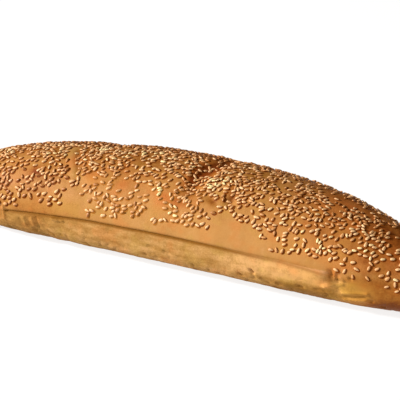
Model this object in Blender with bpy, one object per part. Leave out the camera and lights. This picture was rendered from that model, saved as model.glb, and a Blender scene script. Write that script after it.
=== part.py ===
"""A fino loaf: one long, soft white-bread roll with a shiny brown crust and sesame seeds on top.

The loaf lies along X on its flat underside, at Z = 0, with its straighter side facing -Y and its
back bowing out towards +Y. Every cross-section is a superellipse, rounder above its widest line
than below it. On each side a seam runs lengthwise: the brown dome ends there in a thin groove,
and the pale band that swelled out of the dough in the oven carries on below. Shallow dents cross
the crown, and small tucks break the flanks. The seeds are fused into the crust, so the whole
loaf is one closed solid.
"""

import math
import random

import bmesh
import bpy
import numpy as np
from mathutils import Matrix
from mathutils.bvhtree import BVHTree

# Driving dimensions, in metres.
LENGTH = 0.350
WIDTH = 0.087
HEIGHT = 0.059
WIDEST = 0.020  # height of the widest line above the underside
FLATTENED = 0.0006  # how much of the round underside the tray pressed flat
BOW = 0.021  # how far the middle of the loaf lies behind its tips

# Superellipse exponents: 2 is an ellipse, and more is squarer.
DOME = 2.2
FLANK = 3.0
UNDERSIDE_ENDS = 9.5
# Each end tapers as (1 - |t| ** first) ** (1 / second): (left end, right end).
PLAN_ENDS = ((2.7, 1.8), (2.2, 1.9))
CROWN_ENDS = ((2.4, 2.0), (2.8, 1.35))

# The seam on the near side (-Y) and on the back (+Y): its height, its ends, and how far the
# band below it stands proud.
NEAR_SEAM = {"height": 0.0256, "left": -0.113, "right": 0.106, "ledge": 0.0016}
BACK_SEAM = {"height": 0.0246, "left": -0.104, "right": 0.118, "ledge": 0.0012}
SEAM_DROP = (0.0054, 0.0028)  # how far the seam sinks at its (left, right) end
SEAM_CURVE = (2.4, 6.0)  # the power it sinks with
SEAM_BEYOND = 1.2  # where it stops sinking, as a share of the way to its end
SEAM_FADE = 0.010
GROOVE_DEPTH = 0.0012
GROOVE_HALF = 0.0011
GROOVE_RIGHT = 0.5  # how much of the groove's depth is left at its right end
LEDGE_LEFT = 0.25  # how much of the ledge there is at its left end and in the middle

# Long, low waves along the crown.
WAVE_HEIGHT = 0.0002
WAVE_LENGTH = 0.110
WAVE_START = -0.130
# Dents, and one bulge with a depth below zero: where each lies, in metres along X and in degrees
# round the section (0 is the near side, 90 the top, 180 the back), how far it reaches each way,
# and how far along X it shifts with each degree.
DENTS = (
    {"x": 0.0140, "angle": 76, "half": 0.0075, "spread": 34, "slant": 0.00014, "depth": 0.0020},
    {"x": -0.0700, "angle": 62, "half": 0.0050, "spread": 28, "slant": -0.00037, "depth": 0.0009},
    {"x": 0.1100, "angle": 90, "half": 0.0120, "spread": 30, "slant": 0.00020, "depth": 0.0008},
    {"x": -0.0600, "angle": 128, "half": 0.0080, "spread": 26, "slant": 0.00020, "depth": 0.0014},
    {"x": 0.1080, "angle": 4, "half": 0.0050, "spread": 9, "slant": 0.0, "depth": 0.0016},
    {"x": -0.0880, "angle": -26, "half": 0.0070, "spread": 22, "slant": 0.0, "depth": 0.0012},
    {"x": 0.0000, "angle": -38, "half": 0.0450, "spread": 24, "slant": 0.0, "depth": -0.0007},
    {"x": 0.0700, "angle": 196, "half": 0.0080, "spread": 18, "slant": 0.0, "depth": 0.0013},
    {"x": -0.1080, "angle": 178, "half": 0.0060, "spread": 12, "slant": 0.0, "depth": 0.0015},
)
SMOOTH_TIP = 0.93  # the share of the half-length beyond which waves, dents and seams fade

# The mesh of the loaf: rings along its length, and rows up each side of a ring. The rows of both
# sides come to a multiple of 4, as the sphere that the mesh starts from is turned by a quarter.
RINGS = 60
FLOOR_EDGE = -66  # degrees below the widest line where the flat underside ends
SEAM_ROW = 1.8  # degrees between the rows at the seam
SEAM_REACH = 0.3  # how far up the dome the seam's rows may climb, as a share of it
ROWS_BELOW = 6
ROWS_ABOVE = 9

# Sesame seeds, at true size: length, width and thickness.
SEED_SIZE = (0.0034, 0.0019, 0.0012)
SIZE_RANGE = (0.92, 1.10)  # the smallest and largest, as shares of that
SEED_TAPER = 0.28  # how much narrower one end is than the other
SEED_SINK = 0.00003
SEED_COUNT = 236
SEED_SPACING = 0.0086
SPARSE_SPACING = 0.0125  # low on the sides
SEED_THROWS = 14000
SEED_FLOOR = 0.030  # the seeds reach down to this height on the sides
END_FLOOR = 0.021  # and to this height round the ends
END_START = 0.106
BARE_PATCH = {"x": 0.042, "half": 0.020, "rise": 0.019}  # a smooth stretch of the near side
RANDOM_SEED = 7

CRUST_COLOUR = (0.47, 0.21, 0.055, 1.0)
CRUST_ROUGHNESS = 0.42
SESAME_COLOUR = (0.80, 0.58, 0.30, 1.0)
SESAME_ROUGHNESS = 0.50
SHARP_EDGE = 50.0  # degrees; the rim where a seed meets the crust is sharper than this


def smooth_step(start, end, value):
    """0 at start and 1 at end, whichever of them is larger."""
    share = np.clip((value - start) / (end - start), 0.0, 1.0)
    return share * share * (3.0 - 2.0 * share)


def taper(t, ends):
    """1 at the middle of the loaf and 0 at both tips."""
    (left_power, left_root), (right_power, right_root) = ends
    reach = np.abs(t)
    left = (1.0 - reach**left_power) ** (1.0 / left_root)
    right = (1.0 - reach**right_power) ** (1.0 / right_root)
    return np.where(t < 0.0, left, right)


def section(t):
    """Half-width, and the height of the crown and depth of the belly from the widest line."""
    half_width = 0.5 * WIDTH * taper(t, PLAN_ENDS)
    crown = (HEIGHT - WIDEST) * taper(t, CROWN_ENDS)
    belly = (WIDEST + FLATTENED) * np.sqrt(1.0 - np.abs(t) ** UNDERSIDE_ENDS)
    return half_width, crown, belly


def seam_height(x, seam):
    left = SEAM_DROP[0] * np.clip(x / seam["left"], 0.0, SEAM_BEYOND) ** SEAM_CURVE[0]
    right = SEAM_DROP[1] * np.clip(x / seam["right"], 0.0, SEAM_BEYOND) ** SEAM_CURVE[1]
    return seam["height"] - left - right


def seam_strength(x, seam):
    """1 along the seam and 0 beyond its ends."""
    opening = smooth_step(seam["left"] - SEAM_FADE, seam["left"], x)
    return opening * smooth_step(seam["right"] + SEAM_FADE, seam["right"], x)


def seam_relief(x, z, seam):
    """The groove of the seam, and the band that stands proud of the dome below it."""
    above = z - seam_height(x, seam)
    rightwards = smooth_step(0.0, seam["right"], x)
    groove = GROOVE_DEPTH * (1.0 + (GROOVE_RIGHT - 1.0) * rightwards)
    groove *= np.exp(-2.0 * (above / GROOVE_HALF) ** 2)
    ledge = seam["ledge"] * (LEDGE_LEFT + (1.0 - LEDGE_LEFT) * rightwards)
    ledge *= smooth_step(GROOVE_HALF, -GROOVE_HALF, above) * smooth_step(0.0, WIDEST, z)
    return (ledge - groove) * seam_strength(x, seam)


def dough_relief(x, angle):
    """The waves along the crown, and the dents."""
    top = np.clip(np.sin(np.radians(angle)), 0.0, 1.0)
    height = WAVE_HEIGHT * top * np.cos(2.0 * math.pi * (x - WAVE_START) / WAVE_LENGTH)
    for dent in DENTS:
        turn = angle - dent["angle"]
        along = (x - dent["x"] - dent["slant"] * turn) / dent["half"]
        height = height - dent["depth"] * np.exp(-(along**2) - (turn / dent["spread"]) ** 2)
    return height


def surface(t, angle):
    """Points of the crust. The angle is 0 on the near side, 90 on the crown, 180 at the back."""
    half_width, crown, belly = section(t)
    cosine = np.cos(np.radians(angle))
    sine = np.sin(np.radians(angle))
    power = np.where(sine >= 0.0, DOME, FLANK)
    radius = (np.abs(cosine) ** power + np.abs(sine) ** power) ** (-1.0 / power)
    x = 0.5 * LENGTH * t
    y = -half_width * radius * cosine
    rise = np.where(sine >= 0.0, crown, belly) * radius * sine
    near = seam_relief(x, WIDEST + rise, NEAR_SEAM)
    back = seam_relief(x, WIDEST + rise, BACK_SEAM)
    relief = dough_relief(x, angle) + np.where(cosine > 0.0, near, back)
    swell = 1.0 + relief * smooth_step(1.0, SMOOTH_TIP, np.abs(t)) / (np.hypot(y, rise) + 1e-9)
    return x, y * swell - BOW * t * t, np.maximum(WIDEST + rise * swell, 0.0)


def seam_angle(t, seam):
    """How many degrees above the widest line the seam lies."""
    _, crown, belly = section(t)
    rise = seam_height(0.5 * LENGTH * t, seam) - WIDEST
    power = np.where(rise >= 0.0, DOME, FLANK)
    room = np.maximum(np.where(rise >= 0.0, crown, belly), 1e-6)
    share = np.clip(np.abs(rise) / room, 0.0, SEAM_REACH) ** power
    return np.sign(rise) * np.degrees(np.arctan((share / (1.0 - share)) ** (1.0 / power)))


def row_angles(t, seam):
    """The rows of one side, from the underside's middle to the crown, with three at the seam."""
    middle = seam_angle(t, seam)
    low = middle - SEAM_ROW
    high = middle + SEAM_ROW
    below = [FLOOR_EDGE + (low - FLOOR_EDGE) * i / (ROWS_BELOW - 1) for i in range(ROWS_BELOW)]
    above = [high + (90.0 - high) * i / (ROWS_ABOVE - 1) for i in range(ROWS_ABOVE)]
    return [np.full_like(t, -90.0), *below, middle, *above]


def loaf_shape():
    """A UV sphere with its poles at the two tips, drawn out to the shape of the loaf."""
    around = 2 * (ROWS_BELOW + ROWS_ABOVE + 1)
    shape = bmesh.new()
    bmesh.ops.create_uvsphere(shape, u_segments=around, v_segments=RINGS, radius=1.0)
    ball = np.array([vertex.co for vertex in shape.verts])
    from_tip = np.rint(np.arccos(np.clip(ball[:, 2], -1.0, 1.0)) / math.pi * RINGS)
    turn = np.arctan2(ball[:, 1], ball[:, 0]) / (2.0 * math.pi)
    t = -np.cos(math.pi * from_tip / RINGS)
    near_side = row_angles(t, NEAR_SEAM)
    back_side = [180.0 - angle for angle in row_angles(t, BACK_SEAM)]
    rows = np.array(near_side + back_side[-2:0:-1])
    angle = rows[np.rint(turn * around).astype(int) % around, np.arange(len(t))]
    for vertex, point in zip(shape.verts, zip(*surface(t, angle))):
        vertex.co = point
    bmesh.ops.recalc_face_normals(shape, faces=shape.faces)
    bmesh.ops.triangulate(shape, faces=shape.faces)
    return shape


def seed_floor(x, near):
    """The lowest height at which seeds lie on the crust."""
    ends = smooth_step(END_START - SEAM_FADE, END_START + SEAM_FADE, abs(x))
    lowest = SEED_FLOOR + (END_FLOOR - SEED_FLOOR) * ends
    if near:
        away = (x - BARE_PATCH["x"]) / BARE_PATCH["half"]
        lowest += BARE_PATCH["rise"] * math.exp(-(away**4))
    return lowest


def seed_places(shape, chance):
    """Evenly spread points of the crust and its normals there, sparser low on the sides."""
    crust = BVHTree.FromBMesh(shape)
    places = []
    for _ in range(SEED_THROWS):
        t = np.array(chance.uniform(-0.99, 0.99))
        angle = np.array(chance.uniform(0.0, 180.0))
        point, normal, _, _ = crust.find_nearest(surface(t, angle))
        if point.z < seed_floor(point.x, angle < 90.0):
            continue
        spacing = SEED_SPACING if point.z > 0.5 * (HEIGHT + SEED_FLOOR) else SPARSE_SPACING
        if all((point - other).length > spacing for other, _ in places):
            places.append((point, normal))
        if len(places) == SEED_COUNT:
            break
    return places


def sesame_seed(number, point, normal, chance, material):
    """A seed lying flat on the crust: a squashed icosphere, narrower at one end."""
    shape = bmesh.new()
    bmesh.ops.create_icosphere(shape, subdivisions=1, radius=0.5)
    for vertex in shape.verts:
        vertex.co.y *= 1.0 - SEED_TAPER * (vertex.co.x + 0.5)
    lie = normal.to_track_quat("Z", "X").to_matrix().to_4x4()
    scale = chance.uniform(*SIZE_RANGE)
    size = Matrix.Diagonal((*[scale * side for side in SEED_SIZE], 1.0))
    spin = Matrix.Rotation(chance.uniform(0.0, 2.0 * math.pi), 4, "Z")
    place = Matrix.Translation(point - SEED_SINK * normal) @ lie @ spin @ size
    bmesh.ops.transform(shape, matrix=place, verts=shape.verts)
    return mesh_object(f"seed_{number:03d}", shape, material)


def principled(name, colour, roughness):
    material = bpy.data.materials.new(name)
    material.use_nodes = True
    shader = material.node_tree.nodes["Principled BSDF"]
    shader.inputs["Base Color"].default_value = colour
    shader.inputs["Roughness"].default_value = roughness
    shader.inputs["Metallic"].default_value = 0.0
    material.diffuse_color = colour
    return material


def mesh_object(name, shape, material):
    mesh = bpy.data.meshes.new(name)
    shape.to_mesh(mesh)
    shape.free()
    mesh.materials.append(material)
    return bpy.data.objects.new(name, mesh)


def new_collection(name):
    collection = bpy.data.collections.new(name)
    bpy.context.scene.collection.children.link(collection)
    return collection


def fuse(loaf, seeds):
    """Joins the seeds to the loaf with one union, and removes them."""
    union = loaf.modifiers.new("seeds", "BOOLEAN")
    union.operation = "UNION"
    union.solver = "EXACT"
    union.operand_type = "COLLECTION"
    union.collection = seeds
    union.material_mode = "TRANSFER"
    graph = bpy.context.evaluated_depsgraph_get()
    fused = bpy.data.meshes.new_from_object(loaf.evaluated_get(graph))
    loaf.modifiers.clear()
    loaf.data = fused
    fused.name = loaf.name
    for seed in list(seeds.objects):
        bpy.data.objects.remove(seed)
    bpy.data.collections.remove(seeds)


def centre(mesh):
    """Puts the middle of the loaf's outline, seen from above, on the origin."""
    points = np.array([vertex.co for vertex in mesh.vertices])
    middle = 0.5 * (points.min(axis=0) + points.max(axis=0))
    mesh.transform(Matrix.Translation((-middle[0], -middle[1], 0.0)))


def build():
    for thing in list(bpy.data.objects):
        bpy.data.objects.remove(thing)
    crust = principled("crust", CRUST_COLOUR, CRUST_ROUGHNESS)
    sesame = principled("sesame", SESAME_COLOUR, SESAME_ROUGHNESS)
    shape = loaf_shape()
    chance = random.Random(RANDOM_SEED)
    seeds = new_collection("sesame_seeds")
    for number, (point, normal) in enumerate(seed_places(shape, chance)):
        seeds.objects.link(sesame_seed(number, point, normal, chance, sesame))
    loaf = mesh_object("loaf", shape, crust)
    new_collection("fino_loaf").objects.link(loaf)
    fuse(loaf, seeds)
    centre(loaf.data)
    loaf.data.shade_smooth()
    loaf.data.set_sharp_from_angle(angle=math.radians(SHARP_EDGE))


build()
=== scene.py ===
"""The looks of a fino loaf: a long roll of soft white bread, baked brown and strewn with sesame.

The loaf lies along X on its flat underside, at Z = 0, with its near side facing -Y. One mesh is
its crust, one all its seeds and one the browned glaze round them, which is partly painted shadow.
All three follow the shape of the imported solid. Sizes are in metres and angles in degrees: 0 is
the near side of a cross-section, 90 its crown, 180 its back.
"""

import math
import random

import bpy
import numpy as np
from mathutils import Matrix, Vector, noise
from mathutils.bvhtree import BVHTree


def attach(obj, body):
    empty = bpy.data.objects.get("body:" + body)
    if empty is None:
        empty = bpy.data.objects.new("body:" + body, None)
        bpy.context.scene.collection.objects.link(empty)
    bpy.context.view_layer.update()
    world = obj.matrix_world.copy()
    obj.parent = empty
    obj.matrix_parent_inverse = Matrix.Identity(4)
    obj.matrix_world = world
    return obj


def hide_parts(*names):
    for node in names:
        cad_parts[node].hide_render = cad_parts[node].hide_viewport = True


# The loaf's shape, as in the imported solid.
LENGTH = 0.350
WIDTH = 0.087
HEIGHT = 0.059
WIDEST = 0.020  # height of the widest line above the underside
FLATTENED = 0.0006  # how much deeper the belly would be if the underside weren't flat
BOW = 0.021  # how far the tips lie nearer than the middle
DOME = 2.2  # the curve of the section above the widest line: 2 is round, and more is squarer
FLANK = 3.0  # and below it
UNDERSIDE_ENDS = 9.5
# How each half tapers to its tip, seen from above and from the side: the power of the way along
# and the root that is taken of what is left, for the left half and the right one.
PLAN_ENDS = ((2.7, 1.8), (2.2, 1.9))
CROWN_ENDS = ((2.4, 2.0), (2.8, 1.35))
# The seams: their height in the middle, their ends, and how far the side stands out below them.
NEAR_SEAM = {"height": 0.0256, "left": -0.113, "right": 0.106, "ledge": 0.0016, "seed": 3}
BACK_SEAM = {"height": 0.0246, "left": -0.104, "right": 0.118, "ledge": 0.0012, "seed": 8}
SEAM_DROP = (0.0054, 0.0028)  # how far a seam drops towards its left and right end
SEAM_CURVE = (2.4, 6.0)  # the larger, the later it drops
SEAM_BEYOND = 1.2  # the drop goes on up to this share of the way to an end
SEAM_FADE = 0.006
SEAM_WOBBLE = 0.00012
GROOVE_DEPTH = 0.0014
GROOVE_HALF = 0.0010
GROOVE_RIGHT = 0.35  # how much of the groove's depth is left at its right end
LEDGE_LEFT = 0.25  # how much of the ledge there is on the left half
LEDGE_HALF = 0.0009
WAVE_HEIGHT = 0.0002
WAVE_LENGTH = 0.110
WAVE_START = -0.130  # where one of the waves has its crest
# Broad dents, or swellings where the depth is below zero. Each leans by its slant, in metres along
# the loaf for each degree.
DENTS = (
    {"x": 0.0140, "angle": 76, "half": 0.0075, "spread": 34, "slant": 0.00014, "depth": 0.0020},
    {"x": -0.0700, "angle": 62, "half": 0.0050, "spread": 28, "slant": -0.00037, "depth": 0.0009},
    {"x": 0.1100, "angle": 90, "half": 0.0120, "spread": 30, "slant": 0.00020, "depth": 0.0008},
    {"x": -0.0600, "angle": 128, "half": 0.0080, "spread": 26, "slant": 0.00020, "depth": 0.0014},
    {"x": 0.1080, "angle": 4, "half": 0.0050, "spread": 9, "slant": 0.0, "depth": 0.0016},
    {"x": -0.0880, "angle": -26, "half": 0.0070, "spread": 22, "slant": 0.0, "depth": 0.0012},
    {"x": 0.0000, "angle": -38, "half": 0.0450, "spread": 24, "slant": 0.0, "depth": -0.0007},
    {"x": 0.0700, "angle": 196, "half": 0.0080, "spread": 18, "slant": 0.0, "depth": 0.0013},
    {"x": -0.1080, "angle": 178, "half": 0.0060, "spread": 12, "slant": 0.0, "depth": 0.0015},
    {"x": 0.0378, "angle": 50, "half": 0.0030, "spread": 6, "slant": 0.0, "depth": 0.0012},
)
SMOOTH_TIP = 0.93  # beyond this share of the half-length the relief fades out

# Furrows that cross the crown. Each follows a line of (degrees, x), steeper on its left side than
# on its right, between two angles. A depth below zero is a ridge. The last value says how much
# browner the crust is there, partly painted shade on a furrow's wall that faces away from the
# light, and below zero how much paler, partly painted highlight on a ridge.
FURROWS = (
    {
        "line": (
            (46, 0.0125), (58, 0.0100), (66, 0.0095), (76, 0.0105), (84, 0.0122), (98, 0.0180),
        ),
        "left": 0.0038,
        "right": 0.0046,
        "depth": 0.0008,
        "ends": (44, 112),
        "brown": 0.50,
    },
    {
        "line": ((42, 0.0320), (52, 0.0220)),
        "left": 0.0040,
        "right": 0.0040,
        "depth": 0.0007,
        "ends": (38, 60),
        "brown": 0.06,
    },
    {
        "line": ((46, 0.0385), (60, 0.0385)),
        "left": 0.0022,
        "right": 0.0022,
        "depth": 0.0005,
        "ends": (44, 64),
        "brown": 0.35,
    },
    # This ridge is paler, partly painted highlight on its side that faces the light.
    {
        "line": ((48, -0.0692), (82, -0.0827)),
        "left": 0.0034,
        "right": 0.0028,
        "depth": -0.0003,
        "ends": (40, 96),
        "brown": -0.40,
    },
    # This furrow's darker crust is a painted shadow line beside the ridge.
    {
        "line": ((48, -0.0658), (82, -0.0793)),
        "left": 0.0010,
        "right": 0.0020,
        "depth": 0.0001,
        "ends": (46, 88),
        "brown": 0.12,
    },
    {
        "line": ((96, -0.0600), (150, -0.0500)),
        "left": 0.0018,
        "right": 0.0040,
        "depth": 0.0010,
        "ends": (94, 150),
        "brown": 0.35,
    },
)

FURROW_FADE = 10.0  # degrees over which a furrow sets in at its ends

# Small folds and creases of the two sides: from (x, z) to (x, z), half as wide as given, and how
# far each stands out, or is cut in below zero.
NEAR_FOLDS = (
    ((0.0700, 0.0205), (0.1020, 0.0202), 0.0028, 0.0006),
    ((0.1068, 0.0252), (0.1078, 0.0222), 0.0013, -0.0008),
    ((0.1098, 0.0262), (0.1092, 0.0232), 0.0009, 0.0010),
    ((0.1108, 0.0212), (0.1118, 0.0201), 0.0008, -0.0012),
    ((0.1132, 0.0228), (0.1150, 0.0218), 0.0009, 0.0008),
    ((0.1184, 0.0240), (0.1192, 0.0234), 0.0008, -0.0010),
    ((0.1040, 0.0165), (0.1145, 0.0192), 0.0010, 0.0009),
    ((0.1000, 0.0130), (0.1110, 0.0150), 0.0014, -0.0003),
    ((0.1150, 0.0140), (0.1290, 0.0158), 0.0009, 0.0008),
    ((0.1160, 0.0114), (0.1270, 0.0133), 0.0009, -0.0008),
    ((0.1160, 0.0088), (0.1290, 0.0110), 0.0009, 0.0008),
    ((-0.1030, 0.0185), (-0.1022, 0.0140), 0.0009, -0.0003),
    ((-0.0997, 0.0190), (-0.0990, 0.0140), 0.0009, 0.0005),
    ((-0.0968, 0.0192), (-0.0958, 0.0140), 0.0008, -0.0003),
    ((-0.0903, 0.0202), (-0.0890, 0.0130), 0.0008, -0.0006),
    ((-0.0938, 0.0192), (-0.0925, 0.0140), 0.0009, 0.0006),
    ((-0.1160, 0.0230), (-0.1150, 0.0150), 0.0012, 0.0008),
    ((-0.0785, 0.0222), (-0.0742, 0.0218), 0.0009, 0.0011),
    ((-0.0722, 0.0222), (-0.0705, 0.0222), 0.0008, 0.0010),
    ((0.0585, 0.0168), (0.0602, 0.0152), 0.0009, -0.0017),
    ((0.0618, 0.0142), (0.0640, 0.0126), 0.0010, 0.0011),
    ((0.0505, 0.0122), (0.0530, 0.0112), 0.0009, -0.0010),
    ((0.0885, 0.0130), (0.0910, 0.0122), 0.0010, -0.0010),
    ((-0.0100, 0.0172), (-0.0070, 0.0165), 0.0008, -0.0007),
    ((0.0010, 0.0158), (0.0040, 0.0150), 0.0009, -0.0008),
)
BACK_FOLDS = (
    ((-0.1060, 0.0226), (-0.1100, 0.0150), 0.0011, -0.0014),
    ((-0.1010, 0.0210), (-0.0990, 0.0160), 0.0009, -0.0008),
    ((0.1180, 0.0230), (0.1215, 0.0170), 0.0011, -0.0014),
    ((0.1120, 0.0180), (0.1290, 0.0160), 0.0010, 0.0007),
    ((0.0680, 0.0180), (0.0700, 0.0080), 0.0012, -0.0010),
    ((-0.0300, 0.0150), (-0.0270, 0.0120), 0.0010, -0.0012),
)

FOLDS_BELOW = (60.0, 30.0)  # the degrees between which the folds of a side set in

# Uneven dough: (size of the lumps, their height). The band below the seams is rougher.
LUMPS = ((0.026, 0.00055), (0.009, 0.00022), (0.0030, 0.00006))
BAND_LUMPS = ((0.012, 0.00035), (0.0045, 0.00018), (0.0018, 0.00009))
PIT_SIZE = 0.0034
PIT_DEPTH = 0.0007
PIT_NOISE = (0.15, 0.55)  # the values of the noise between which a pit deepens
PIT_FLOOR = (0.001, 0.006)  # the heights between which pits set in,
PIT_CEILING = (0.016, 0.009)  # and between which they fade out

# How much painted shade each crease gets: the seams, the pits of the band, a metre of a fold's
# depth, and the rim of the underside, which fades out between two heights.
GROOVE_SHADE = 1.3
PIT_SHADE = 0.40
FOLD_SHADE = 240.0
RIM_SHADE = 0.6
RIM_HEIGHTS = (0.0085, 0.0015)

# How far beyond the seam's ends the side below it stays pale, and how fast its edge softens there.
PALE_LEFT = (0.034, 0.004)
PALE_RIGHT = (0.036, 0.006)
PALE_SOFTENING = 0.25

# The mesh of the crust.
RINGS = 560
TIP_CROWDING = 0.6  # 0 spaces the rings evenly, and 1 crowds them most at the tips
FLOOR_EDGE = -66
SEAM_SPREAD = 3.2  # degrees of close rows to each side of the seam
SEAM_REACH = 0.3
FLOOR_ROWS = 5
FLANK_ROWS = 42
SEAM_ROWS = 20
DOME_ROWS = 76

# Sesame seeds at true size: length, width and thickness.
SEED_SIZE = (0.0034, 0.0019, 0.0011)
SEED_SPREAD = 0.08  # how much the seeds differ in size
SIDE_SPREAD = 0.06  # how much each of their three sides differs too
SEED_SMALLER = 0.12  # how much smaller the seeds of the right half are
SMALLER_ALONG = (-0.040, 0.090)  # where along the loaf they grow smaller
SEED_TAPER = 0.38
SEED_TAPER_POWER = 1.3
SEED_FULLNESS = 0.85  # below 1 makes the seeds blunter
SEED_FLATNESS = 0.75  # below 1 flattens their faces
SEED_LIFT = 0.00030  # how far the middle of a seed is above the crust
SEED_TILT = 7.0
SEED_SEGMENTS = 8
SEED_RINGS = 6
SEED_THROWS = 18500
SEED_ENDS = 0.985  # the share of the half-length over which they are thrown
SEED_TURN = 38.0  # most seeds point about this far from the loaf's length
SEED_TURN_SPREAD = 30.0
SEED_STRAY = 0.2  # the share of the seeds that point anywhere
SEED_CLEARANCE = 0.76  # nearest two seeds may be, as a share of their width
SEED_CROWDING = 0.30  # how much nearer where seeds are thickest
SEED_HEAP = 0.0012  # how far a seed is raised by one that it lies on, for a whole width
RIDGE_BARE = 0.35  # no seed lies where a ridge has more than this share of its height

# The share of the thrown seeds that stick: low on the loaf, how much more on the crown, and the
# heights between which it grows, as shares of the crown's height above the widest line.
DENSITY_LOW = 0.23
DENSITY_MORE = 0.23
DENSITY_HEIGHTS = (0.35, 0.85)
CLUMPS = ((0.013, 0.8, (9.0, 2.0, 4.0)), (0.006, 0.7, (3.0, 8.0, 5.0)))  # size, strength, shift
THINNER_END = (0.115, 0.160)  # where they grow thinner towards the right end,
THINNER_BY = 0.3  # and by what share

# The browned glaze round each seed, as a low mound under it, partly painted shadow.
GLAZE_SPAN = (1.30, 1.55)  # its length and width, as shares of the seed's
GLAZE_HEIGHT = 0.00018
GLAZE_SUNK = 0.00005
GLAZE_DOWN_SHIFT = 0.0004  # how far down the side it lies: glaze that ran, and painted shadow below the seed
GLAZE_SHADOW_SHIFT = 0.0006  # how far it is moved towards the right end, as painted shadow beside the seed
GLAZE_SEGMENTS = 12
GLAZE_RINGS = ((0.55, 0.75), (1.0, 0.0))  # reach and rise, as shares of a mound's

# How low the seeds reach down the near side: (x, z).
SEED_HEM = (
    (-0.150, 0.0240), (-0.118, 0.0227), (-0.106, 0.0258), (-0.101, 0.0300), (-0.092, 0.0325),
    (-0.085, 0.0306), (-0.071, 0.0325), (-0.067, 0.0410), (-0.058, 0.0410), (-0.053, 0.0290),
    (-0.043, 0.0298), (-0.026, 0.0330), (-0.002, 0.0336), (0.020, 0.0360), (0.0285, 0.0346),
    (0.030, 0.0440), (0.037, 0.0445), (0.051, 0.0415), (0.060, 0.0390), (0.0685, 0.0290),
    (0.080, 0.0315), (0.089, 0.0335), (0.098, 0.0315), (0.1045, 0.0335), (0.110, 0.0270),
    (0.118, 0.0242), (0.127, 0.0262), (0.1355, 0.0232), (0.147, 0.0190), (0.175, 0.0190),
)
BACK_HEM = 0.030
BACK_HEM_DROP = 0.008  # how much lower it is towards the tips,
BACK_HEM_ENDS = (0.100, 0.130)  # and where
HEM_RAGGED = 0.0012  # how far both hems wander up and down,
RAG_SIZE = 0.007  # and over what length

# Where seeds are scarcer, or thicker if the last value is below zero: x, degrees, half the
# length, half the spread in degrees, and the share of the seeds that is missing.
SCARCE = (
    (-0.1015, 47, 0.006, 7, 0.75),
    (-0.0900, 60, 0.006, 8, 0.70),
    (-0.0740, 36, 0.006, 8, 0.80),
    (-0.0560, 47, 0.006, 8, 0.85),
    (-0.0340, 48, 0.007, 9, 0.90),
    (-0.0180, 52, 0.008, 11, 0.60),
    (-0.0035, 56, 0.006, 6, 0.90),
    (-0.0120, 30, 0.010, 9, 0.60),
    (0.0080, 36, 0.005, 6, 0.70),
    (0.0260, 46, 0.005, 5, 0.90),
    (0.0125, 80, 0.005, 16, 0.50),
    (0.0250, 47, 0.006, 6, 0.75),
    (0.1200, 96, 0.030, 18, 0.75),
    (-0.1180, 33, 0.010, 9, 0.55),
    (-0.1000, 82, 0.030, 22, -0.30),
    (0.1160, 42, 0.006, 6, 0.60),
    (0.0225, 67, 0.009, 12, -2.20),
    (0.0070, 42, 0.009, 6, -1.60),
    (0.0000, 76, 0.010, 14, -0.60),
    (0.0420, 62, 0.020, 15, -0.70),
    (0.0850, 38, 0.022, 16, 0.30),
    (0.0900, 102, 0.035, 12, 0.60),
    (-0.0460, 26, 0.010, 12, -0.50),
    (-0.0088, 47, 0.003, 4, -2.50),
    (0.0045, 29, 0.004, 4, -2.50),
)
# Where the seeds stayed paler: x, degrees, half the length, half the spread in degrees, and how
# much less toasted they are.
PALE_SEEDS = (
    (-0.0088, 47, 0.0035, 5, 1.00),
    (0.0045, 29, 0.0040, 5, 1.00),
    (0.0240, 62, 0.0060, 9, 1.00),
    (-0.0500, 84, 0.0900, 18, 0.40),
    (-0.0600, 114, 0.1100, 11, -0.90),
)
# Patches of the crust: x, degrees, half the length, half the spread in degrees, how much redder
# the glaze is there, or more golden below zero, and how much browner.
PATCHES = (
    (-0.0340, 46, 0.006, 8, 1.0, 0.00),
    (-0.0190, 61, 0.009, 5, 0.7, 0.00),
    (-0.0060, 38, 0.006, 9, 1.0, 0.00),
    (0.0040, 60, 0.005, 8, 1.0, 0.00),
    (0.0070, 41, 0.009, 6, 1.0, 0.24),
    (0.0225, 64, 0.008, 10, -0.3, -0.74),
    (-0.1180, 38, 0.022, 12, 0.5, -0.10),
    (-0.0960, 48, 0.005, 6, 1.0, 0.30),
    (0.0110, 76, 0.009, 20, 1.8, 0.04),
    (0.0262, 48, 0.005, 5, -0.6, 0.30),
    (0.0350, 63, 0.005, 8, 0.7, 0.25),
    (0.0010, 61, 0.004, 5, -1.0, 0.00),
    (-0.0250, 15, 0.025, 9, 0.0, -0.04),
    (-0.1050, 74, 0.026, 16, 0.0, -0.16),
    (-0.0560, 50, 0.006, 9, 1.0, 0.00),
    (-0.0745, 66, 0.005, 16, 0.9, 0.00),
    (0.1100, 80, 0.018, 16, 2.2, -0.15),
    (0.1450, 60, 0.014, 18, 1.0, 0.00),
    (0.1450, 4, 0.016, 16, -0.3, 0.12),
    (0.1220, -4, 0.022, 14, -0.5, 0.06),
    (-0.0900, 10, 0.026, 10, -0.5, 0.16),
    (-0.0600, 114, 0.110, 11, 0.0, 0.35),
    (0.1400, -26, 0.024, 16, -0.8, 0.12),
    (0.1090, 6, 0.006, 10, 1.5, 0.12),
)

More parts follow.
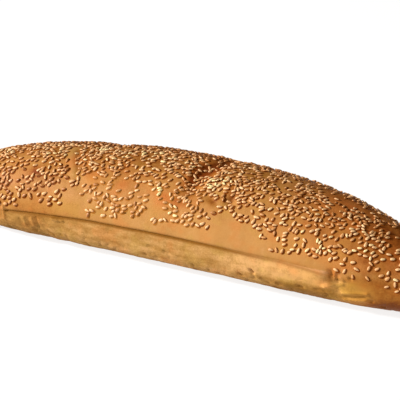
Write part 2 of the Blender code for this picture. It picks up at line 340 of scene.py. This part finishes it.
# Gradual changes: how much, and the steps that it is multiplied by, each 0 at its first value and
# 1 at its second. A step goes along x, z, the degrees or up, which is their sine.
BROWN_BASE = 0.34
BROWNED_AND_PAINTED_HIGHLIGHT = (
    (0.27, ("up", 0.25, 0.92)),  # the crown
    (0.12, ("x", 0.0, -0.130)),  # the left half
    (0.14, ("up", 0.88, 0.98)),  # the top of the crown, less so on the right
    (-0.07, ("up", 0.88, 0.98), ("x", 0.040, 0.070)),
    (0.34, ("x", 0.060, 0.150)),  # the right end, less so on its crown
    (-0.10, ("x", 0.060, 0.150), ("up", 0.3, 0.9)),
    (  # the pale ledge under the seam, with painted highlight on its lip
        -0.52,
        ("x", 0.030, 0.065), ("x", 0.109, 0.103), ("z", 0.0135, 0.0175), ("z", 0.0265, 0.0245),
    ),
    (0.35, ("x", 0.050, 0.085), ("x", 0.118, 0.104), ("z", 0.0150, 0.0110)),  # below that ledge
    (-0.44, ("x", 0.103, 0.112), ("x", 0.140, 0.120), ("z", 0.0235, 0.0175)),  # beyond the seam
    (0.16, ("x", -0.060, -0.105), ("z", 0.046, 0.036)),  # the sides of the left end
    (0.34, ("x", 0.108, 0.146), ("z", 0.018, 0.006)),  # the foot of the right end
)
SOLE_BROWNED = ((0.35, ("z", 0.011, 0.002)),)
FURROW_SHADE_SHIFT = 0.0008  # the browner crust and painted shade of a furrow lie this far to the left of it
REDDENED = (  # how much redder the glaze is or, below zero, more golden
    (0.50, ("x", 0.050, 0.110), ("up", 0.16, 0.42)),
    (-0.55, ("x", 0.040, 0.125), ("up", 0.34, 0.06)),
)
TOASTED = (  # how much browner the seeds are
    (0.15, ("x", -0.030, -0.090), ("degrees", 70.0, 50.0)),
    (-0.30, ("x", 0.040, 0.110), ("degrees", 75.0, 50.0)),
)
# Where the glaze round the seeds and its painted shadow are paler.
PALER_GLAZE_AND_SHADOW = ((1.0, ("x", -0.070, -0.050), ("x", 0.030, 0.010), ("degrees", 62.0, 46.0)),)

# The lamps: name, size, watts, colour, azimuth, elevation and distance from the loaf.
LAMPS = (
    ("key", 0.45, 154.0, (1.0, 1.0, 1.0), -64.0, 27.0, 3.0),
    ("fill", 1.00, 5.8, (1.0, 0.94, 0.84), 50.0, 36.0, 1.6),
)
SKY = ((1.0, 0.84, 0.56, 1.0), 0.08)  # the colour and strength of the light all round
FLOOR_HALF = 4.0
FLOOR_DROP = 0.00005  # how far the floor is below the underside
CAMERA_TARGET = (0.0080, -0.0077, 0.0374)
CAMERA_DISTANCE = 0.735
CAMERA_AZIMUTH = 26.1
CAMERA_ELEVATION = 24.0
CAMERA_LENS = 106.5
CAMERA_SENSOR = 36.0


def smooth_step(start, end, value):
    """0 at start and 1 at end, whichever of them is larger."""
    share = np.clip((value - start) / (end - start), 0.0, 1.0)
    return share * share * (3.0 - 2.0 * share)


def graded(table, **place):
    """The sum of a table of gradual changes, at places given by the names of their steps."""
    total = 0.0
    for amount, *steps in table:
        for name, start, end in steps:
            amount = amount * smooth_step(start, end, place[name])
        total = total + amount
    return total


def taper(t, ends):
    """1 at the middle of the loaf, at t = 0, and 0 at both tips, at -1 and 1."""
    (left_power, left_root), (right_power, right_root) = ends
    reach = np.abs(t)
    left = (1.0 - reach**left_power) ** (1.0 / left_root)
    right = (1.0 - reach**right_power) ** (1.0 / right_root)
    return np.where(t < 0.0, left, right)


def section(t):
    """Half-width, and the height of the crown and depth of the belly from the widest line."""
    half_width = 0.5 * WIDTH * taper(t, PLAN_ENDS)
    crown = (HEIGHT - WIDEST) * taper(t, CROWN_ENDS)
    belly = (WIDEST + FLATTENED) * np.sqrt(1.0 - np.abs(t) ** UNDERSIDE_ENDS)
    return half_width, crown, belly


def perlin(points, size, seed):
    """Smooth noise from about -1 to 1, with lumps of that size, at an array of points."""
    shift = Vector((1.7, 3.1, 5.3)) * seed
    flat = points.reshape(-1, 3) / size
    values = [noise.noise(Vector(point) + shift) for point in flat.tolist()]
    return np.array(values).reshape(points.shape[:-1])


def lumpy(points, lumps, seed):
    return sum(height * perlin(points, size, seed + i) for i, (size, height) in enumerate(lumps))


def seam_height(x, seam):
    left = SEAM_DROP[0] * np.clip(x / seam["left"], 0.0, SEAM_BEYOND) ** SEAM_CURVE[0]
    right = SEAM_DROP[1] * np.clip(x / seam["right"], 0.0, SEAM_BEYOND) ** SEAM_CURVE[1]
    wobble = SEAM_WOBBLE * (np.sin(x / 0.0071 + seam["seed"]) + np.sin(x / 0.0127))
    return seam["height"] - left - right + wobble


def seam_strength(x, seam):
    """1 along the seam and 0 beyond its ends."""
    opening = smooth_step(seam["left"] - SEAM_FADE, seam["left"], x)
    return opening * smooth_step(seam["right"] + SEAM_FADE, seam["right"], x)


def seam_groove(x, z, seam):
    """How deep the groove is cut, as a share of its depth."""
    above = z - seam_height(x, seam)
    rightwards = smooth_step(0.0, seam["right"], x)
    share = 1.0 + (GROOVE_RIGHT - 1.0) * rightwards
    return share * np.exp(-np.abs(above / GROOVE_HALF) ** 1.4) * seam_strength(x, seam)


def seam_band(x, z, seam):
    """1 on the pale band below the seam and 0 on the dome above it."""
    above = z - seam_height(x, seam)
    return smooth_step(LEDGE_HALF, -LEDGE_HALF, above) * seam_strength(x, seam)


def pale_side(x, z, seam):
    """1 where the crust stayed pale, below the seam and a little beyond its ends."""
    before = np.clip(seam["left"] - x, 0.0, None)
    beyond = np.clip(x - seam["right"], 0.0, None)
    soft = LEDGE_HALF + PALE_SOFTENING * (before + beyond)
    above = z - seam_height(x, seam)
    along = smooth_step(*PALE_LEFT, before) * smooth_step(*PALE_RIGHT, beyond)
    return smooth_step(soft, -soft, above) * along


def seam_relief(x, z, seam):
    rightwards = smooth_step(0.0, seam["right"], x)
    ledge = seam["ledge"] * (LEDGE_LEFT + (1.0 - LEDGE_LEFT) * rightwards)
    ledge = ledge * seam_band(x, z, seam) * smooth_step(0.0, WIDEST, z)
    return ledge - GROOVE_DEPTH * seam_groove(x, z, seam)


def furrow(x, angle, shape):
    """How deep a point lies in a furrow, as a share of its depth."""
    degrees, places = zip(*shape["line"])
    away = x - np.interp(angle, degrees, places)
    half = np.where(away < 0.0, shape["left"], shape["right"])
    low, high = shape["ends"]
    length = smooth_step(low, low + FURROW_FADE, angle)
    length = length * smooth_step(high, high - FURROW_FADE, angle)
    return np.exp(-((away / half) ** 2)) * length


def fold(x, z, shape):
    """The relief of a fold or crease of a side."""
    (x_start, z_start), (x_end, z_end), half, height = shape
    run, rise = x_end - x_start, z_end - z_start
    share = ((x - x_start) * run + (z - z_start) * rise) / (run * run + rise * rise)
    share = np.clip(share, 0.0, 1.0)
    away = np.hypot(x - x_start - share * run, z - z_start - share * rise)
    return height * np.exp(-((away / half) ** 2))


def dough_relief(x, angle):
    """The waves along the crown, the dents and the furrows."""
    top = np.clip(np.sin(np.radians(angle)), 0.0, 1.0)
    height = WAVE_HEIGHT * top * np.cos(2.0 * math.pi * (x - WAVE_START) / WAVE_LENGTH)
    for dent in DENTS:
        turn = angle - dent["angle"]
        along = (x - dent["x"] - dent["slant"] * turn) / dent["half"]
        height = height - dent["depth"] * np.exp(-(along**2) - (turn / dent["spread"]) ** 2)
    for shape in FURROWS:
        height = height - shape["depth"] * furrow(x, angle, shape)
    return height


def surface(t, angle):
    """The crust's points and looks: how brown, pale and red, and its creases' painted shade."""
    half_width, crown, belly = section(t)
    cosine = np.cos(np.radians(angle))
    sine = np.sin(np.radians(angle))
    power = np.where(sine >= 0.0, DOME, FLANK)
    radius = (np.abs(cosine) ** power + np.abs(sine) ** power) ** (-1.0 / power)
    x = 0.5 * LENGTH * t
    y = -half_width * radius * cosine
    rise = np.where(sine >= 0.0, crown, belly) * radius * sine
    z = WIDEST + rise
    near = cosine > 0.0
    points = np.stack((x, y, z), axis=-1)

    band, pale, groove, relief = (
        np.where(near, share(x, z, NEAR_SEAM), share(x, z, BACK_SEAM))
        for share in (seam_band, pale_side, seam_groove, seam_relief)
    )
    near_folds = sum(fold(x, z, shape) for shape in NEAR_FOLDS)
    back_folds = sum(fold(x, z, shape) for shape in BACK_FOLDS)
    low_side = smooth_step(*FOLDS_BELOW, np.where(near, angle, 180.0 - angle))
    folds = np.where(near, near_folds, back_folds) * low_side
    lumps = lumpy(points, LUMPS, 11) + band * lumpy(points, BAND_LUMPS, 21)
    hem = smooth_step(*PIT_FLOOR, z) * smooth_step(*PIT_CEILING, z)
    pits = smooth_step(*PIT_NOISE, perlin(points, PIT_SIZE, 31)) * hem
    relief = relief + folds + lumps - PIT_DEPTH * pits + dough_relief(x, angle)

    swell = 1.0 + relief * smooth_step(1.0, SMOOTH_TIP, np.abs(t)) / (np.hypot(y, rise) + 1e-9)
    points = np.stack((x, y * swell - BOW * t * t, np.maximum(WIDEST + rise * swell, 0.0)), axis=-1)
    # Painted shade in the seam's groove, the band's pits, the cut folds and the underside's rim.
    crease = GROOVE_SHADE * groove + PIT_SHADE * pits * band - FOLD_SHADE * np.minimum(folds, 0.0)
    crease += RIM_SHADE * smooth_step(*RIM_HEIGHTS, z)
    looks = {
        "brown": browning_and_painted_light(x, angle, z, sine),
        "pale": pale,
        "crease": np.clip(crease, 0.0, 1.0),
        "blush": patchy(x, angle, PATCHES, 4) + graded(REDDENED, x=x, up=sine),
    }
    return points, looks


def patchy(x, angle, patches, column):
    """The sum of what some patches do here, by a column of their table."""
    share = 0.0 * x
    for patch in patches:
        place, middle, half, spread = patch[:4]
        away = ((x - place) / half) ** 2 + ((angle - middle) / spread) ** 2
        share = share + patch[column] * np.exp(-away)
    return share


def browning_and_painted_light(x, angle, z, up):
    """How brown the crust is from oven, glaze, painted shade and highlight: 0 to 1, above 1 at the
    sole.
    """
    brown = BROWN_BASE + graded(BROWNED_AND_PAINTED_HIGHLIGHT, x=x, z=z, up=up) + patchy(x, angle, PATCHES, 5)
    for shape in FURROWS:
        # Partly painted shade in the furrows, and painted highlight on the ridge.
        brown += shape["brown"] * furrow(x + FURROW_SHADE_SHIFT, angle, shape)
    return np.clip(brown, 0.0, 1.0) + graded(SOLE_BROWNED, z=z)


def seam_angle(t, seam):
    """How many degrees above the widest line the seam lies."""
    _, crown, belly = section(t)
    rise = seam_height(0.5 * LENGTH * t, seam) - WIDEST
    power = np.where(rise >= 0.0, DOME, FLANK)
    room = np.maximum(np.where(rise >= 0.0, crown, belly), 1e-6)
    share = np.clip(np.abs(rise) / room, 0.0, SEAM_REACH) ** power
    return np.sign(rise) * np.degrees(np.arctan((share / (1.0 - share)) ** (1.0 / power)))


def stretch(start, end, count):
    """Evenly spaced rows from start up to, but not including, end, for each ring."""
    share = np.arange(count) / count
    return start + (end - start) * share


def row_angles(t, seam):
    """The rows of one side from the underside's middle up to the crown, close at the seam."""
    middle = seam_angle(t, seam)[:, None]
    parts = (
        stretch(-90.0, FLOOR_EDGE, FLOOR_ROWS) + 0.0 * middle,
        stretch(FLOOR_EDGE, middle - SEAM_SPREAD, FLANK_ROWS),
        stretch(middle - SEAM_SPREAD, middle + SEAM_SPREAD, SEAM_ROWS),
        stretch(middle + SEAM_SPREAD, 90.0, DOME_ROWS),
    )
    return np.concatenate(parts, axis=1)


def crust_mesh():
    """The crust as one closed mesh, with a ring of points for each place along the loaf."""
    even = np.linspace(-1.0, 1.0, RINGS + 2)[1:-1]
    t = (1.0 - TIP_CROWDING) * even + TIP_CROWDING * np.sin(0.5 * math.pi * even)
    near = row_angles(t, NEAR_SEAM)
    back = 180.0 - row_angles(t, BACK_SEAM)
    crown = np.full((RINGS, 1), 90.0)
    angle = np.concatenate((near, crown, back[:, :0:-1]), axis=1)
    around = angle.shape[1]
    points, looks = surface(np.repeat(t[:, None], around, axis=1), angle)
    tips = np.array(((-0.5 * LENGTH, -BOW, WIDEST), (0.5 * LENGTH, -BOW, WIDEST)))
    vertices = np.concatenate((points.reshape(-1, 3), tips))
    ring, row = np.meshgrid(np.arange(RINGS - 1), np.arange(around), indexing="ij")
    after = (row + 1) % around
    corners = (ring * around + after, ring * around + row)
    corners += (corners[1] + around, corners[0] + around)
    faces = np.stack([c.ravel() for c in corners], axis=1).tolist()
    left, right = RINGS * around, RINGS * around + 1
    last = (RINGS - 1) * around
    for i in range(around):
        j = (i + 1) % around
        faces.append((i, j, left))
        faces.append((last + j, last + i, right))
    middle = 0.5 * (vertices.min(axis=0) + vertices.max(axis=0))
    vertices -= (middle[0], middle[1], 0.0)
    mesh = bpy.data.meshes.new("crust")
    mesh.from_pydata(vertices.tolist(), [], faces)
    for name, values in looks.items():
        ends = (values[0].mean(), values[-1].mean())
        paint(mesh, name, np.concatenate((values.ravel(), ends)))
    mesh.shade_smooth()
    return mesh, float(middle[1])


def paint(mesh, name, values):
    attribute = mesh.attributes.new(name, "FLOAT", "POINT")
    attribute.data.foreach_set("value", values.astype(np.float32))


def seed_density(point, angle):
    """The share of the thrown seeds that stick here. Above 1 they lie closer to each other too."""
    up = (point.z - WIDEST) / (HEIGHT - WIDEST)
    dense = DENSITY_LOW + DENSITY_MORE * float(smooth_step(*DENSITY_HEIGHTS, up))
    for size, strength, shift in CLUMPS:
        dense *= 1.0 + strength * noise.noise(Vector(point) / size + Vector(shift))
    for x, middle, half, spread, missing in SCARCE:
        away = ((point.x - x) / half) ** 2 + ((angle - middle) / spread) ** 2
        dense *= 1.0 - missing * math.exp(-(away**2))
    return dense * (1.0 - THINNER_BY * float(smooth_step(*THINNER_END, point.x)))


def seed_hem(x, near):
    """The height above which seeds lie on the crust."""
    ragged = HEM_RAGGED * noise.noise(Vector((x / RAG_SIZE, 4.0, 1.0 if near else 7.0)))
    if near:
        return float(np.interp(x, *zip(*SEED_HEM))) + ragged
    ends = float(smooth_step(*BACK_HEM_ENDS, abs(x)))
    return BACK_HEM - BACK_HEM_DROP * ends + ragged


def on_ridge(x, angle):
    """Whether a point lies on the bare crest of a ridge."""
    ridges = [shape for shape in FURROWS if shape["depth"] < 0.0]
    return any(furrow(x, angle, ridge) > RIDGE_BARE for ridge in ridges)


def throw_seeds(crust, shift):
    """Places for the seeds: a point on the crust, its degrees, its normal, how far a seed is raised
    by others, the way it points, and its scale."""
    chance = random.Random(4)
    tree = BVHTree.FromPolygons(
        [vertex.co for vertex in crust.vertices], [face.vertices for face in crust.polygons]
    )
    half_axis = 0.5 * (SEED_SIZE[0] - SEED_SIZE[1])
    cores = np.empty((0, 3, 3))
    places = []
    for _ in range(SEED_THROWS):
        t = chance.uniform(-SEED_ENDS, SEED_ENDS)
        angle = chance.uniform(0.0, 180.0)
        half_width, crown, _ = section(np.array(t))
        aim = Vector((
            0.5 * LENGTH * t,
            -half_width * math.cos(math.radians(angle)) - BOW * t * t - shift,
            WIDEST + crown * math.sin(math.radians(angle)),
        ))
        point, normal, _, _ = tree.find_nearest(aim)
        near = angle < 90.0
        dense = seed_density(point, angle)
        if point.z < seed_hem(point.x, near) or chance.random() > dense:
            continue
        if on_ridge(point.x, angle):
            continue
        turn = chance.gauss(SEED_TURN, SEED_TURN_SPREAD)
        if chance.random() < SEED_STRAY:
            turn = chance.uniform(-90.0, 90.0)
        across = Matrix.Rotation(math.radians(turn), 3, normal) @ Vector((1.0, 0.0, 0.0))
        across = (across - across.dot(normal) * normal).normalized()
        core = np.array([point + share * half_axis * across for share in (-1.0, 0.0, 1.0)])
        small = 1.0 - SEED_SMALLER * float(smooth_step(*SMALLER_ALONG, point.x))
        gap = 1.0
        if places:
            gaps = np.linalg.norm(cores[:, :, None] - core[None, None], axis=-1)
            gap = min(1.0, float(gaps.min()) / SEED_SIZE[1])
            crowding = SEED_CROWDING * min(max(dense - 1.0, 0.0), 1.0)
            if gap < small * (SEED_CLEARANCE - crowding):
                continue
        cores = np.concatenate((cores, core[None]))
        raised = SEED_HEAP * (1.0 - gap)
        scale = small * chance.gauss(1.0, SEED_SPREAD)
        places.append((point, angle, normal, raised, across, scale))
    return places, chance


def glaze_and_shadow_mesh(places):
    """The glaze round all the seeds, partly painted shadow, as one mesh of low mounds."""
    shape = [(0.0, 0.0, 1.0)]
    faces = []
    for reach, rise in GLAZE_RINGS:
        for segment in range(GLAZE_SEGMENTS):
            spin = 2.0 * math.pi * segment / GLAZE_SEGMENTS
            shape.append((0.5 * reach * math.cos(spin), 0.5 * reach * math.sin(spin), rise))
    for segment in range(GLAZE_SEGMENTS):
        inner = 1 + segment
        after = 1 + (segment + 1) % GLAZE_SEGMENTS
        outer, outer_after = inner + GLAZE_SEGMENTS, after + GLAZE_SEGMENTS
        faces += [(0, inner, after), (inner, outer, outer_after), (inner, outer_after, after)]
    shape, faces = np.array(shape), np.array(faces)
    length, width = (share * side for share, side in zip(GLAZE_SPAN, SEED_SIZE))
    vertices, all_faces, lighter_glaze_and_shadow = [], [], []
    for number, (point, angle, normal, _, across, scale) in enumerate(places):
        frame = Matrix((across, normal.cross(across), normal)).transposed()
        size = Matrix.Diagonal((scale * length, scale * width, GLAZE_HEIGHT))
        place = np.array(frame @ size)
        down = normal.z * normal - Vector((0.0, 0.0, 1.0))
        along = Vector((1.0, 0.0, 0.0)) - normal.x * normal
        # Moved down and towards the right end, where the seeds' painted shadows fall.
        middle = point - GLAZE_SUNK * normal + GLAZE_DOWN_SHIFT * down + GLAZE_SHADOW_SHIFT * along
        vertices.append(shape @ place.T + np.array(middle))
        all_faces.append(faces + number * len(shape))
        lighter_glaze_and_shadow.append(np.full(len(shape), graded(PALER_GLAZE_AND_SHADOW, x=point.x, degrees=angle)))
    mesh = bpy.data.meshes.new("glaze")
    mesh.from_pydata(np.concatenate(vertices).tolist(), [], np.concatenate(all_faces).tolist())
    paint(mesh, "lighter_glaze_and_shadow", np.concatenate(lighter_glaze_and_shadow))
    mesh.shade_smooth()
    return mesh


def seed_shape():
    """One seed of unit size, a drop that narrows towards +X: its points and faces."""
    points = [(-0.5, 0.0, 0.0)]
    for ring in range(1, SEED_RINGS):
        turn = math.pi * ring / SEED_RINGS
        x = -0.5 * math.cos(turn)
        reach = 0.5 * math.sin(turn) ** SEED_FULLNESS
        narrow = 1.0 - SEED_TAPER * (x + 0.5) ** SEED_TAPER_POWER
        for segment in range(SEED_SEGMENTS):
            spin = 2.0 * math.pi * segment / SEED_SEGMENTS
            side, rise = (
                math.copysign(abs(share) ** SEED_FLATNESS, share)
                for share in (math.cos(spin), math.sin(spin))
            )
            points.append((x, reach * narrow * side, reach * narrow * rise))
    points.append((0.5, 0.0, 0.0))
    faces = []
    for segment in range(SEED_SEGMENTS):
        after = (segment + 1) % SEED_SEGMENTS
        faces.append((0, 1 + after, 1 + segment))
        for ring in range(SEED_RINGS - 2):
            low = 1 + ring * SEED_SEGMENTS
            high = low + SEED_SEGMENTS
            faces.append((low + segment, low + after, high + after))
            faces.append((low + segment, high + after, high + segment))
        last = 1 + (SEED_RINGS - 2) * SEED_SEGMENTS
        faces.append((last + segment, last + after, len(points) - 1))
    return np.array(points), np.array(faces)


def seeds_mesh(places, chance):
    """All the seeds as one mesh."""
    shape, shape_faces = seed_shape()
    vertices, faces, toast = [], [], []
    for number, (point, angle, normal, raised, across, scale) in enumerate(places):
        frame = Matrix((across, normal.cross(across), normal)).transposed()
        tilt = Matrix.Rotation(math.radians(chance.gauss(0.0, SEED_TILT)), 3, "Y")
        roll = Matrix.Rotation(math.radians(chance.gauss(0.0, SEED_TILT)), 3, "X")
        sides = [scale * chance.gauss(1.0, SIDE_SPREAD) * side for side in SEED_SIZE]
        size = Matrix.Diagonal(sides)
        place = np.array(frame @ tilt @ roll @ size)
        vertices.append(shape @ place.T + np.array(point + (SEED_LIFT + raised) * normal))
        faces.append(shape_faces + number * len(shape))
        browner = graded(TOASTED, x=point.x, degrees=angle)
        paler = patchy(point.x, angle, PALE_SEEDS, 4)
        toast.append(np.full(len(shape), chance.random() + browner - paler))
    mesh = bpy.data.meshes.new("sesame_seeds")
    mesh.from_pydata(np.concatenate(vertices).tolist(), [], np.concatenate(faces).tolist())
    paint(mesh, "toast", np.concatenate(toast))
    mesh.shade_smooth()
    return mesh


def linear(red, green, blue):
    """A colour given as 0 to 255, as a picture shows it, for a shader."""
    shares = [value / 255.0 for value in (red, green, blue)]
    return (*[s / 12.92 if s <= 0.04045 else ((s + 0.055) / 1.055) ** 2.4 for s in shares], 1.0)


class Graph:
    """The nodes of one material."""

    def __init__(self, name):
        self.material = bpy.data.materials.new(name)
        self.material.use_nodes = True
        self.tree = self.material.node_tree
        self.shader = self.tree.nodes["Principled BSDF"]

    def add(self, kind, sockets=(), **settings):
        node = self.tree.nodes.new(kind)
        for name, value in settings.items():
            setattr(node, name, value)
        for socket, value in dict(sockets).items():
            self.put(value, node.inputs[socket])
        return node

    def put(self, value, socket):
        if isinstance(value, bpy.types.NodeSocket):
            self.tree.links.new(value, socket)
        else:
            socket.default_value = value

    def attribute(self, name):
        return self.add("ShaderNodeAttribute", attribute_name=name).outputs["Fac"]

    def math(self, operation, first, second):
        return self.add("ShaderNodeMath", {0: first, 1: second}, operation=operation).outputs[0]

    def noise(self, size, detail, stretch=(1.0, 1.0, 1.0)):
        """Noise from 0 to 1 with lumps of that size, in metres, drawn out along each axis."""
        place = self.add("ShaderNodeTexCoord").outputs["Object"]
        scale = [1.0 / (size * share) for share in stretch]
        place = self.add("ShaderNodeMapping", {"Vector": place, "Scale": scale}).outputs[0]
        sockets = {"Vector": place, "Scale": 1.0, "Detail": detail, "Roughness": 0.55}
        return self.add("ShaderNodeTexNoise", sockets).outputs["Fac"]

    def wander(self, value, noise_value, amount):
        """The value, moved up and down by a noise."""
        swing = self.math("MULTIPLY", self.math("SUBTRACT", noise_value, 0.5), amount)
        return self.math("ADD", value, swing)

    def ramp(self, value, stops):
        node = self.add("ShaderNodeValToRGB", {"Fac": value})
        elements = node.color_ramp.elements
        while len(elements) < len(stops):
            elements.new(0.5)
        for element, (position, colour) in zip(elements, stops):
            element.position = position
            element.color = colour
        return node.outputs["Color"]

    def mix(self, share, first, second, blend="MIX"):
        node = self.add("ShaderNodeMix", data_type="RGBA", blend_type=blend)
        for socket, value in ((0, share), (6, first), (7, second)):
            self.put(value, node.inputs[socket])
        return node.outputs[2]

    def bump(self, height, strength, distance):
        sockets = {"Height": height, "Strength": strength, "Distance": distance}
        self.put(self.add("ShaderNodeBump", sockets).outputs[0], self.shader.inputs["Normal"])


def crust_material():
    graph = Graph("baked_crust")
    pale = graph.attribute("pale")
    broad = graph.noise(0.020, 3.0)
    fine = graph.noise(0.0032, 4.0)
    speckle = graph.noise(0.0009, 2.0)
    brown = graph.wander(graph.attribute("brown"), broad, 0.55)
    brown = graph.wander(brown, fine, 0.34)
    brown = graph.wander(brown, speckle, 0.20)
    dome = graph.ramp(brown, (
        (0.00, linear(226, 170, 118)),
        (0.12, linear(203, 150, 94)),
        (0.30, linear(192, 138, 77)),
        (0.50, linear(188, 132, 70)),
        (0.68, linear(175, 118, 59)),
        (0.84, linear(154, 95, 39)),
        (1.00, linear(122, 64, 22)),
    ))
    tint = graph.ramp(graph.noise(0.0130, 2.0), (
        (0.36, linear(248, 252, 237)),
        (0.46, linear(251, 250, 248)),
        (0.54, linear(251, 250, 248)),
        (0.66, linear(257, 243, 235)),
    ))
    streak = graph.noise(0.0042, 4.0, (3.0, 1.0, 1.0))
    mottled = graph.math("SUBTRACT", 0.82, graph.math("MULTIPLY", graph.attribute("brown"), 0.9))
    mottled = graph.wander(graph.wander(mottled, streak, 1.1), speckle, 0.6)
    flour = graph.ramp(mottled, (
        (0.08, linear(142, 98, 42)),
        (0.38, linear(172, 124, 62)),
        (0.62, linear(193, 144, 84)),
        (0.86, linear(219, 166, 106)),
    ))
    colour = graph.mix(1.0, graph.mix(pale, dome, flour), tint, "MULTIPLY")
    blush = graph.attribute("blush")
    redder = graph.mix(1.0, colour, linear(264, 234, 216), "MULTIPLY")
    golden = graph.mix(1.0, colour, linear(255, 245, 198), "MULTIPLY")
    colour = graph.mix(blush, colour, redder)
    colour = graph.mix(graph.math("MULTIPLY", blush, -1.0), colour, golden)
    # Painted shade in the creases, towards a dark brown.
    colour = graph.mix(graph.attribute("crease"), colour, linear(132, 84, 20))
    graph.put(colour, graph.shader.inputs["Base Color"])
    rough = graph.math("ADD", graph.math("MULTIPLY", pale, 0.2), 0.50)
    graph.put(graph.wander(rough, fine, 0.2), graph.shader.inputs["Roughness"])
    graph.shader.inputs["Specular IOR Level"].default_value = 0.09
    graph.bump(graph.wander(fine, speckle, 0.8), 0.60, 0.00022)
    return graph.material


def glaze_and_shadow_material():
    graph = Graph("browned_glaze_and_painted_shadow")
    # Dark brown glaze, partly painted shadow round the seeds.
    colour = graph.ramp(graph.noise(0.0020, 3.0), (
        (0.30, linear(100, 44, 5)),
        (0.60, linear(130, 64, 10)),
    ))
    # Paler where the glaze and its painted shadow are lighter.
    colour = graph.mix(graph.attribute("lighter_glaze_and_shadow"), colour, linear(164, 102, 38))
    graph.put(colour, graph.shader.inputs["Base Color"])
    graph.shader.inputs["Roughness"].default_value = 0.50
    graph.shader.inputs["Specular IOR Level"].default_value = 0.04
    return graph.material


def sesame_material():
    graph = Graph("toasted_sesame")
    mottle = graph.noise(0.0008, 2.0)
    toast = graph.wander(graph.attribute("toast"), mottle, 0.5)
    colour = graph.ramp(graph.math("ADD", graph.math("MULTIPLY", toast, 0.75), 0.25), (
        (0.00, linear(248, 222, 158)),
        (0.25, linear(239, 193, 139)),
        (0.55, linear(224, 168, 110)),
        (0.81, linear(208, 148, 88)),
        (1.00, linear(174, 112, 56)),
    ))
    graph.put(colour, graph.shader.inputs["Base Color"])
    graph.shader.inputs["Roughness"].default_value = 0.42
    graph.shader.inputs["Specular IOR Level"].default_value = 0.35
    graph.bump(mottle, 0.3, 0.0001)
    return graph.material


def piece(name, mesh, material):
    mesh.materials.append(material)
    thing = bpy.data.objects.new(name, mesh)
    bpy.context.scene.collection.objects.link(thing)
    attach(thing, "root")
    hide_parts("loaf")
    return thing


def facing(thing, azimuth, elevation, distance, target):
    """Places a camera or light so that it looks at the target from there."""
    turn, rise = math.radians(azimuth), math.radians(elevation)
    back = Vector((
        math.sin(turn) * math.cos(rise), -math.cos(turn) * math.cos(rise), math.sin(rise)
    ))
    thing.location = Vector(target) + distance * back
    thing.rotation_mode = "QUATERNION"
    thing.rotation_quaternion = (-back).to_track_quat("-Z", "Y")
    bpy.context.scene.collection.objects.link(thing)


def area_light(name, size, watts, colour, azimuth, elevation, distance):
    lamp = bpy.data.lights.new(name, "AREA")
    lamp.color = colour
    lamp.shape = "DISK"
    lamp.size = size
    lamp.energy = watts
    facing(bpy.data.objects.new(name, lamp), azimuth, elevation, distance, CAMERA_TARGET)


def studio():
    scene = bpy.context.scene
    scene.view_settings.view_transform = "Standard"
    world = bpy.data.worlds.new("studio")
    world.use_nodes = True
    background = world.node_tree.nodes["Background"]
    background.inputs["Color"].default_value, background.inputs["Strength"].default_value = SKY
    scene.world = world

    sheet = bpy.data.meshes.new("floor")
    corners = ((-1, -1), (1, -1), (1, 1), (-1, 1))
    points = [(x * FLOOR_HALF, y * FLOOR_HALF, -FLOOR_DROP) for x, y in corners]
    sheet.from_pydata(points, [], [(0, 1, 2, 3)])
    graph = Graph("pale_floor")
    graph.shader.inputs["Base Color"].default_value = (0.20, 0.20, 0.20, 1.0)
    graph.shader.inputs["Emission Color"].default_value = (1.0, 1.0, 1.0, 1.0)
    graph.shader.inputs["Emission Strength"].default_value = 0.84
    graph.shader.inputs["Roughness"].default_value = 0.9
    sheet.materials.append(graph.material)
    floor = bpy.data.objects.new("floor", sheet)
    scene.collection.objects.link(floor)

    for lamp in LAMPS:
        area_light(*lamp)

    lens = bpy.data.cameras.new("camera")
    lens.sensor_width = CAMERA_SENSOR
    lens.lens = CAMERA_LENS
    camera = bpy.data.objects.new("camera", lens)
    facing(camera, CAMERA_AZIMUTH, CAMERA_ELEVATION, CAMERA_DISTANCE, CAMERA_TARGET)
    scene.camera = camera


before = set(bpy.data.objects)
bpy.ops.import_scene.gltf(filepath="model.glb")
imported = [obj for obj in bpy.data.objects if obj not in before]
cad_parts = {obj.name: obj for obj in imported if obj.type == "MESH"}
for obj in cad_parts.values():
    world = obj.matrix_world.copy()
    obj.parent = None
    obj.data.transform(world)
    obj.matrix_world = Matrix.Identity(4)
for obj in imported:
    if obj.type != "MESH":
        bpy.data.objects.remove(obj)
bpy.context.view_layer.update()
crust, middle_y = crust_mesh()
piece("crust", crust, crust_material())
places, chance = throw_seeds(crust, middle_y)
piece("sesame_seeds", seeds_mesh(places, chance), sesame_material())
# The glaze round the seeds, partly painted shadow.
piece("glaze", glaze_and_shadow_mesh(places), glaze_and_shadow_material())
studio()
